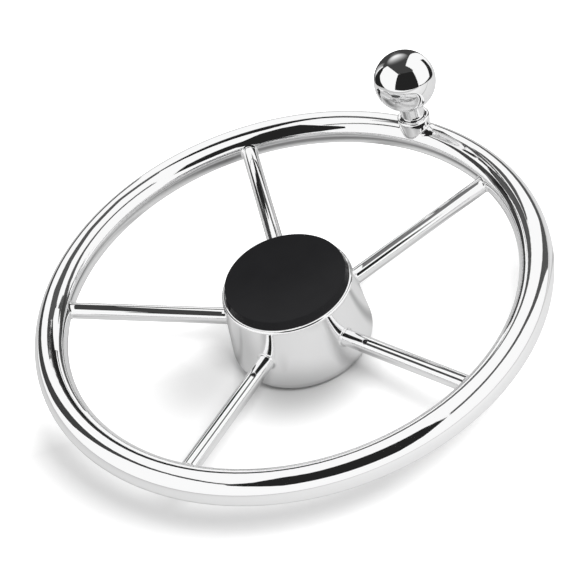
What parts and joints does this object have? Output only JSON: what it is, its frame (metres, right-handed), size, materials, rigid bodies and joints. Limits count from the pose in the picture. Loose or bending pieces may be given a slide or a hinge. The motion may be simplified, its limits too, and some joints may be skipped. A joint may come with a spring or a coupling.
{
  "type": "boat steering wheel",
  "caption": "Polished stainless boat steering wheel: tube rim, radial rod spokes, drawn cup hub with a black push-in centre cap, and a spinner knob on the rim.",
  "frame": {"origin": "centre of the hub's back face, on the axis of the steering shaft", "axes": "+Z along the shaft's axis out of the wheel's front, towards the helmsman; +Y along the spoke that stands over the keyway; +X to that spoke's right, seen from the front"},
  "size_m": [0.343, 0.343, 0.1149],
  "materials": {
    "polished_stainless": "mirror-polished stainless steel with faint polishing lines",
    "turned_stainless": "stainless steel as turned, satin",
    "spring_stainless": "plain spring steel, stainless",
    "black_cap": "smooth black moulded plastic, semi-gloss",
    "ring_rubber": "plain black nitrile rubber",
    "bearing_plastic": "natural white acetal, as machined"
  },
  "bodies": {
    "wheel": {"rim_tube": "polished_stainless", "spoke_1": "polished_stainless", "spoke_2": "polished_stainless", "spoke_3": "polished_stainless", "spoke_4": "polished_stainless", "spoke_5": "polished_stainless", "hub_shell": "polished_stainless", "hub_boss": "turned_stainless", "centre_cap": "black_cap", "cap_o_ring": "ring_rubber", "knob_socket": "polished_stainless", "knob_spindle": "turned_stainless", "knob_base_washer": "bearing_plastic"},
    "knob": {"knob_ball": "polished_stainless", "knob_lower_bush": "bearing_plastic", "knob_upper_bush": "bearing_plastic", "knob_thrust_washer": "bearing_plastic", "knob_retaining_ring": "spring_stainless"}
  },
  "joints": [
    {"name": "knob_spin", "type": "hinge", "parent": "wheel", "child": "knob", "pos_m": [0.11448, 0.1125, 0.045], "axis": [0, 0, 1], "continuous": true}
  ]
}
